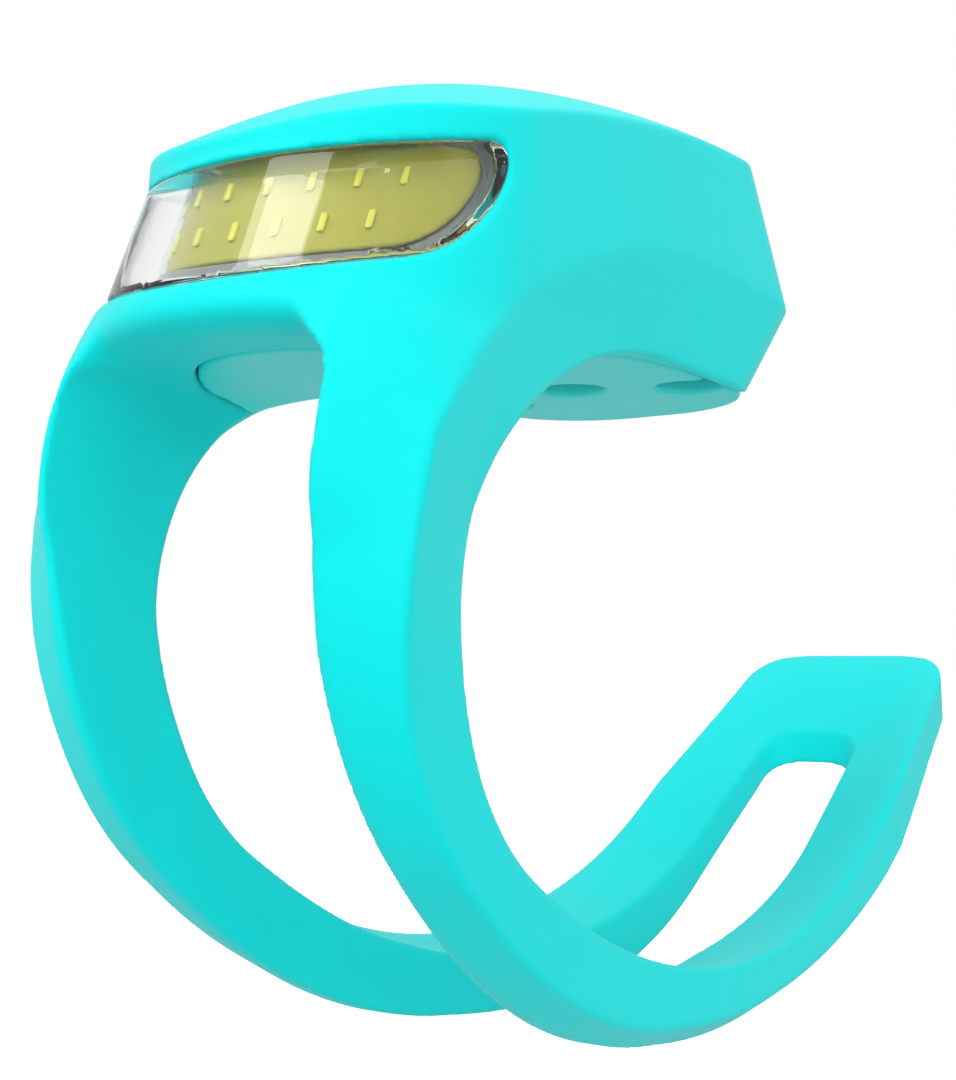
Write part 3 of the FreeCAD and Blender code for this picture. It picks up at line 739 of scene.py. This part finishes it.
@dataclass(frozen=True)
class ClearFinish:
    """Clear moulded plastic, which lets the lamps' light through to what is behind."""

    name: str
    tint: Colour = (0.93, 0.95, 0.95)
    shade: Colour = (0.9, 0.92, 0.92)
    roughness: float = 0.02
    ior: float = 1.49

    def material(self) -> bpy.types.Material:
        """Make the material."""
        made = bpy.data.materials.new(self.name)
        made.use_nodes = True
        tree = made.node_tree
        shader = tree.nodes["Principled BSDF"]
        shader.inputs["Base Color"].default_value = (*self.tint, 1.0)
        shader.inputs["Roughness"].default_value = self.roughness
        shader.inputs["IOR"].default_value = self.ior
        shader.inputs["Transmission Weight"].default_value = 1.0
        rays = tree.nodes.new("ShaderNodeLightPath")
        clear = tree.nodes.new("ShaderNodeBsdfTransparent")
        clear.inputs["Color"].default_value = (*self.shade, 1.0)
        mix = tree.nodes.new("ShaderNodeMixShader")
        tree.links.new(rays.outputs["Is Shadow Ray"], mix.inputs[0])
        tree.links.new(shader.outputs["BSDF"], mix.inputs[1])
        tree.links.new(clear.outputs["BSDF"], mix.inputs[2])
        tree.links.new(mix.outputs["Shader"], tree.nodes["Material Output"].inputs["Surface"])
        return made


@dataclass
class Finishes:
    """Every finish of the part by its material slot."""

    silicone: Finish = Finish("soft_silicone", (0.0, 0.74, 0.735), (0.002, 0.76, 0.76),
                              roughness=0.5, specular=0.08, sheen=0.1, relief=0.06)
    hatch: Finish = Finish("hatch_moulding", (0.04, 0.78, 0.75), (0.045, 0.8, 0.78),
                           roughness=0.42, specular=0.4, relief=0.1)
    lens: ClearFinish = ClearFinish("clear_lens")
    plain: dict[str, Finish] = field(default_factory=lambda: {
        "grey_plastic": Finish("bezel_grey", (0.15, 0.17, 0.165), (0.18, 0.2, 0.195),
                               roughness=0.35),
        "phosphor": Finish("phosphor_sheet", (0.34, 0.315, 0.015), (0.37, 0.345, 0.02),
                           roughness=0.4, relief=0.2, grain=4000.0),
        "phosphor_dot": Finish("phosphor_dot", (0.6, 0.57, 0.03), (0.66, 0.62, 0.05),
                               roughness=0.3),
        "board_white": Finish("board_white", (0.7, 0.7, 0.68), (0.74, 0.74, 0.72)),
        "dark_plastic": Finish("shell_plastic", (0.03, 0.03, 0.032), (0.04, 0.04, 0.042),
                               roughness=0.45),
        "brass": Finish("turned_brass", (0.62, 0.42, 0.14), (0.7, 0.5, 0.2),
                        roughness=0.3, metallic=1.0, pattern=Pattern.BRUSHED),
        "seal_rubber": Finish("seal_rubber", (0.02, 0.02, 0.02), (0.03, 0.03, 0.03),
                              roughness=0.7),
        "screw_steel": Finish("screw_steel", (0.5, 0.51, 0.52), (0.6, 0.61, 0.62),
                              roughness=0.3, metallic=1.0),
        "spring_steel": Finish("spring_steel", (0.55, 0.55, 0.55), (0.62, 0.62, 0.62),
                               roughness=0.28, metallic=1.0, pattern=Pattern.BRUSHED),
        "cell_steel": Finish("cell_can", (0.58, 0.58, 0.57), (0.64, 0.64, 0.63),
                             roughness=0.25, metallic=1.0, pattern=Pattern.BRUSHED),
        "board_green": Finish("board_lacquer", (0.01, 0.16, 0.06), (0.015, 0.2, 0.08),
                              roughness=0.3),
        "chip_black": Finish("chip_black", (0.015, 0.015, 0.016), (0.02, 0.02, 0.02),
                             roughness=0.4),
        "white_plastic": Finish("stem_white", (0.7, 0.7, 0.68), (0.75, 0.75, 0.73)),
        "lead_red": Finish("lead_red", (0.45, 0.02, 0.015), (0.52, 0.03, 0.02),
                           roughness=0.4),
        "lead_black": Finish("lead_black", (0.015, 0.015, 0.015), (0.02, 0.02, 0.02),
                             roughness=0.4),
    })


def dress(piece: bpy.types.Object, material: bpy.types.Material) -> None:
    """Give a piece one material in place of its own slots."""
    piece.data.materials.clear()
    piece.data.materials.append(material)


def placed(piece: bpy.types.Object, body: str, slot: str,
           material: bpy.types.Material, *nodes: str) -> bpy.types.Object:
    """Dress a new piece, put it on its body and let it stand for CAD nodes.

    Args:
        piece: the new piece.
        body: the body that it moves with.
        slot: the name of the material slot; not used.
        material: its material.
        nodes: the CAD nodes that it stands for.

    Returns:
        The piece.
    """
    dress(piece, material)
    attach(piece, body)
    if nodes:
        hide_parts(*nodes)
    LOG.info("%s: %d faces, rides on %s", piece.name, len(piece.data.polygons), body)
    return piece


# The stage

@dataclass
class Studio:
    """Camera, floor, backdrop and lamps."""

    target: tuple[float, float, float] = (-2.439, 7.769, 5.898)
    distance: float = 86.675
    azimuth_deg: float = 31.8076
    elevation_deg: float = -4.4514
    focal_mm: float = 50.0
    sensor_mm: float = 36.0
    floor_z: float = -40.0
    floor_grey: Colour = (0.6, 0.6, 0.6)
    floor_light: float = 0.82
    air_light: float = 0.74

    def camera(self) -> bpy.types.Object:
        """Set up the camera at the photograph's viewing angle."""
        data = bpy.data.cameras.new("camera")
        data.sensor_fit = "AUTO"
        data.sensor_width = self.sensor_mm
        data.lens = self.focal_mm
        data.clip_start = 0.002
        data.clip_end = 20.0
        eye = bpy.data.objects.new("camera", data)
        bpy.context.scene.collection.objects.link(eye)
        az, el = math.radians(self.azimuth_deg), math.radians(self.elevation_deg)
        back = Vector((math.sin(az) * math.cos(el), -math.cos(az) * math.cos(el),
                       math.sin(el)))
        eye.location = (Vector(self.target) + back * self.distance) * MM
        eye.rotation_euler = (-back).to_track_quat("-Z", "Y").to_euler()
        bpy.context.scene.camera = eye
        return eye

    def world(self) -> None:
        """A white world to the eye, a softer one to the object."""
        world = bpy.data.worlds.new("studio_air")
        world.use_nodes = True
        bpy.context.scene.world = world
        tree = world.node_tree
        air = tree.nodes["Background"]
        air.inputs["Color"].default_value = (1.0, 1.0, 1.0, 1.0)
        air.inputs["Strength"].default_value = self.air_light
        seen = tree.nodes.new("ShaderNodeBackground")
        seen.inputs["Color"].default_value = (1.0, 1.0, 1.0, 1.0)
        seen.inputs["Strength"].default_value = 1.0
        rays = tree.nodes.new("ShaderNodeLightPath")
        either = self._either(tree, rays)
        mix = tree.nodes.new("ShaderNodeMixShader")
        tree.links.new(either.outputs[0], mix.inputs[0])
        tree.links.new(air.outputs[0], mix.inputs[1])
        tree.links.new(seen.outputs[0], mix.inputs[2])
        tree.links.new(mix.outputs[0], tree.nodes["World Output"].inputs["Surface"])

    @staticmethod
    def _either(tree: bpy.types.NodeTree, rays: bpy.types.Node) -> bpy.types.Node:
        """One where a ray is the camera's or goes on through clear plastic."""
        either = tree.nodes.new("ShaderNodeMath")
        either.operation = "MAXIMUM"
        tree.links.new(rays.outputs["Is Camera Ray"], either.inputs[0])
        tree.links.new(rays.outputs["Is Transmission Ray"], either.inputs[1])
        return either

    def floor(self) -> bpy.types.Object:
        """A wide pale floor that looks white and still takes the object's shadow."""
        size = 3.0
        mesh = bpy.data.meshes.new("floor")
        mesh.from_pydata([(-size, -size, 0.0), (size, -size, 0.0), (size, size, 0.0),
                          (-size, size, 0.0)], [], [(0, 1, 2, 3)])
        floor = bpy.data.objects.new("floor", mesh)
        floor.location = (0.0, 0.0, self.floor_z * MM)
        bpy.context.scene.collection.objects.link(floor)
        made = bpy.data.materials.new("pale_floor")
        made.use_nodes = True
        tree = made.node_tree
        shader = tree.nodes["Principled BSDF"]
        shader.inputs["Base Color"].default_value = (*self.floor_grey, 1.0)
        shader.inputs["Roughness"].default_value = 0.9
        shader.inputs["Specular IOR Level"].default_value = 0.0
        glow = tree.nodes.new("ShaderNodeEmission")
        glow.inputs["Color"].default_value = (1.0, 1.0, 1.0, 1.0)
        rays = tree.nodes.new("ShaderNodeLightPath")
        either = self._either(tree, rays)
        lift = tree.nodes.new("ShaderNodeMath")
        lift.operation = "MULTIPLY"
        lift.inputs[1].default_value = self.floor_light
        tree.links.new(either.outputs[0], lift.inputs[0])
        tree.links.new(lift.outputs[0], glow.inputs["Strength"])
        add = tree.nodes.new("ShaderNodeAddShader")
        tree.links.new(shader.outputs["BSDF"], add.inputs[0])
        tree.links.new(glow.outputs["Emission"], add.inputs[1])
        tree.links.new(add.outputs[0], tree.nodes["Material Output"].inputs["Surface"])
        mesh.materials.append(made)
        return floor

    def lamp(self, name: str, place: tuple[float, float, float], size: tuple[float, float],
             watts: float) -> bpy.types.Object:
        """A soft box that faces the object.

        Args:
            name: name of the lamp.
            place: where it stands, in metres.
            size: its width and height, in metres.
            watts: its power.

        Returns:
            The lamp.
        """
        data = bpy.data.lights.new(name, "AREA")
        data.shape = "RECTANGLE"
        data.size, data.size_y = size
        data.energy = watts
        lamp = bpy.data.objects.new(name, data)
        bpy.context.scene.collection.objects.link(lamp)
        lamp.location = place
        towards = Vector(self.target) * MM - Vector(place)
        lamp.rotation_euler = towards.to_track_quat("-Z", "Y").to_euler()
        return lamp

    def build(self) -> None:
        """Set up the whole stage."""
        self.camera()
        self.world()
        self.floor()
        self.lamp("front_box", (-0.05, -0.42, 0.42), (0.26, 0.4), 1.3)
        self.lamp("fill_box", (0.3, -0.5, 0.16), (0.5, 0.3), 1.0)
        self.lamp("side_strip", (0.39, -0.24, 0.386), (0.03, 0.16), 0.12)
        self.lamp("top_box", (0.0, 0.3, 0.55), (0.5, 0.4), 0.25)
        self.lamp("right_box", (0.5, -0.05, -0.01), (0.3, 0.2), 0.4)
        view = bpy.context.scene.view_settings
        view.view_transform = "Standard"


# Sub-assemblies

@dataclass
class SoftBody:
    """The silicone moulding: one skin over the head, both legs and the tail."""

    form: SoftForm
    band: LensBand
    hatch: HatchForm
    pitch: float = 0.22
    room: Room = (11.2, (-24.0, 70.2), (-25.0, 33.5))
    button_hole_r: float = 3.8
    button_hole_z: float = 20.0
    hatch_gap: float = 0.14
    hatch_z: Span = (-6.0, 18.0)
    inner_soft: float = 0.5
    cut_soft: float = 0.4
    hatch_soft: float = 0.35
    window_soft: float = 0.15

    def build(self, finishes: Finishes) -> bpy.types.Object:
        """Build the moulding."""
        form = self.form
        block = Block(*self.room, self.pitch)
        x, y, z = block.axes()
        solid = form.outside(x, y, z)
        half_w = form.half_width(y, z)
        inside = form.head(x, y, z, half_w) + form.skin
        cavity = smooth_max(inside, -floor_height(y, z), self.inner_soft)
        solid = without(solid, cavity, self.cut_soft)
        low, high = self.hatch_z
        opening = np.maximum(self.hatch.plan(x, y) - self.hatch_gap, z - high)
        opening = np.maximum(opening, low - z)
        solid = without(solid, opening, self.hatch_soft)
        solid = without(solid, self.band.window(y, z, 0.0), self.window_soft)
        hole = np.hypot(x, y - form.button_y) - self.button_hole_r
        hole = np.maximum(hole, self.button_hole_z - z)
        solid = without(solid, hole, self.cut_soft)
        piece = block.mesh("soft_moulding", solid)
        dress(piece, finishes.silicone.material())
        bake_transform(piece)
        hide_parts("silicone_body", "strap_tail")
        LOG.info("soft_moulding: %d faces, bends at the strap", len(piece.data.polygons))
        return piece


@dataclass
class LightEngine:
    """Clear lens, bezel, phosphor panel and its diodes."""

    form: SoftForm
    band: LensBand
    fit: float = 0.05
    lens_t: float = 1.8
    flange: float = 0.8
    panel_from: float = 2.15
    panel_t: float = 0.7
    panel_shift: float = 0.7
    die_rows: tuple[int, int] = (9, 8)
    die_pitch_deg: float = 12.8
    die_row_half: float = 0.95
    die_half: tuple[float, float] = (0.14, 0.42)
    die_h: float = 0.15
    die_sink: float = 0.1
    ring_shift: float = 1.0
    ring_reach: float = 0.6
    ring_lap: float = 0.25
    window_soft: float = 0.15
    piece_soft: float = 0.2
    die_soft: float = 0.1
    pitch: float = 0.15
    room: Room = (11.2, (-24.0, -7.0), (11.0, 24.0))
    die_room: Room = (11.2, (-21.0, -9.0), (14.0, 22.0))

    def build(self, finishes: Finishes) -> None:
        """Build the four pieces."""
        form, band = self.form, self.band
        block = Block(*self.room, self.pitch)
        x, y, z = block.axes()
        half_w = form.half_width(y, z)
        head = form.head(x, y, z, half_w)
        nose = form.plan(x, y, z, half_w)
        space = head + form.skin + self.fit
        lens = smooth_max(head, -(nose + self.lens_t), self.window_soft)
        lens = smooth_max(lens, band.window(y, z, -self.fit), self.window_soft)
        rim = np.maximum(space, -(nose + self.lens_t))
        rim = np.maximum(rim, band.window(y, z, self.flange))
        piece = block.mesh("clear_lens", np.minimum(lens, rim))
        placed(piece, "light", "clear_lens", finishes.lens.material(), "lens")

        ring = np.maximum(nose + self.lens_t + self.fit,
                          -(nose + self.panel_from + self.panel_t))
        ring = np.maximum(ring, space)
        outline = band.window(y, z, self.ring_reach, self.ring_shift)
        ring = smooth_max(ring, outline, self.piece_soft)
        inside = band.window(y, z, -self.ring_lap, self.panel_shift)
        ring = without(ring, inside, self.window_soft)
        piece = block.mesh("bezel_ring", ring)
        placed(piece, "light", "grey_plastic",
               finishes.plain["grey_plastic"].material(), "bezel_frame")

        sheet = np.maximum(nose + self.panel_from, -(nose + self.panel_from + self.panel_t))
        inside = band.window(y, z, -self.ring_lap - self.fit, self.panel_shift - self.fit)
        sheet = smooth_max(sheet, inside, self.piece_soft)
        piece = block.mesh("light_panel", sheet)
        placed(piece, "light", "phosphor", finishes.plain["phosphor"].material(),
               "phosphor_panel")

        fine = Block(*self.die_room, self.pitch / 2.0)
        piece = fine.mesh("diode_marks", self.dies(*fine.axes()), rounds=1)
        placed(piece, "light", "phosphor_dot", finishes.plain["phosphor_dot"].material(),
               "led_dies")

    def dies(self, x: Array, y: Array, z: Array) -> Array:
        """Field of the diodes: small low blocks in two rows on the panel."""
        form, band = self.form, self.band
        nose = form.plan(x, y, z, form.half_width(y, z))
        tilt = math.tan(math.radians(band.tilt_deg))
        middle = band.end[1] + (y - band.end[0]) * tilt
        turn = np.arctan2(x, form.nose_line(z) - y)
        radius = form.low_half_w - self.panel_from
        nearest = np.full(np.broadcast_shapes(x.shape, y.shape, z.shape), 1e3)
        for row, count in zip((1.0, -1.0), self.die_rows):
            pitch = math.radians(self.die_pitch_deg)
            first = 0.0 if count % 2 else 0.5
            steps = np.clip(np.round(turn / pitch - first), 0.0, (count - 1) // 2)
            along = np.abs(turn - (steps + first) * pitch) * radius - self.die_half[0]
            across = np.abs(z - middle - row * self.die_row_half) - self.die_half[1]
            nearest = np.minimum(nearest, smooth_max(along, across, self.die_soft))
        shell = np.maximum(nose + self.panel_from - self.die_h,
                           -(nose + self.panel_from + self.die_sink))
        return np.maximum(nearest, shell)


@dataclass
class Hatch:
    """The hatch that closes the head from below."""

    form: SoftForm
    plan: HatchForm
    pitch: float = 0.16
    room: Room = (9.2, (-17.0, 27.2), (9.0, 18.2))
    floor_gap: float = 0.05
    edge: float = 0.3

    def build(self, finishes: Finishes) -> None:
        """Build the hatch."""
        block = Block(*self.room, self.pitch)
        x, y, z = block.axes()
        solid = smooth_max(self.form.outside(x, y, z), self.plan.plan(x, y), self.edge)
        solid = np.maximum(solid, floor_height(y, z) + self.floor_gap)
        solid = without(solid, self.plan.recesses(x, y, z), self.edge)
        piece = block.mesh("hatch_cover", solid)
        placed(piece, "hatch", "hatch_plastic", finishes.hatch.material(), "base_hatch")


@dataclass
class Button:
    """The soft pad in the crown that works the switch."""

    form: SoftForm
    r: float = 3.7
    flange_r: float = 4.5
    flange_t: float = 0.6
    edge: float = 0.5
    dish_h: float = 0.25
    dish_r: Span = (1.2, 2.6)
    seat: float = 0.05
    room_r: float = 4.8
    room_low: float = 0.3
    room_top_z: float = 33.0
    pitch: float = 0.12

    def build(self, finishes: Finishes) -> None:
        """Build the pad."""
        low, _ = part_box("button_pad")
        base = low.z / MM
        middle = self.form.button_y
        across = (middle - self.room_r, middle + self.room_r)
        block = Block(self.room_r, across, (base - self.room_low, self.room_top_z), self.pitch)
        x, y, z = block.axes()
        half_w = self.form.half_width(y, z)
        away = np.hypot(x, y - middle)
        top = self.form.head(x, y, z, half_w)
        dish = self.dish_h * (1.0 - ramp(away, *self.dish_r))
        pad = smooth_max(away - self.r, top + dish, self.edge)
        pad = np.maximum(pad, base + self.seat - z)
        flange = np.maximum(base - z, z - base - self.flange_t)
        flange = np.maximum(away - self.flange_r, flange)
        piece = block.mesh("button_pad_soft", np.minimum(pad, flange))
        placed(piece, "button", "silicone", finishes.silicone.material(), "button_pad")


@dataclass
class CarriedOver:
    """The rigid pieces inside, which keep their CAD shape and get their finish here."""

    def build(self, finishes: Finishes) -> None:
        """Dress every CAD node that is still shown."""
        made: dict[str, bpy.types.Material] = {}
        for part in frame["record"]["subparts"]:
            node, slot = part["node"], part["material_slot"]
            if slot not in finishes.plain or frame["nodes"][node].hide_render:
                continue
            if slot not in made:
                made[slot] = finishes.plain[slot].material()
            dress(frame["nodes"][node], made[slot])
            LOG.info("%s: dressed as %s", node, slot)


def main() -> None:
    """Build the stage and every sub-assembly in order."""
    logging.basicConfig(level=logging.INFO, format="%(message)s")
    Studio().build()
    finishes = Finishes()
    form, band, plan = SoftForm(), LensBand(), HatchForm()
    SoftBody(form, band, plan).build(finishes)
    LightEngine(form, band).build(finishes)
    Hatch(form, plan).build(finishes)
    Button(form).build(finishes)
    CarriedOver().build(finishes)
    bpy.context.view_layer.update()


if __name__ == "__main__":
    main()
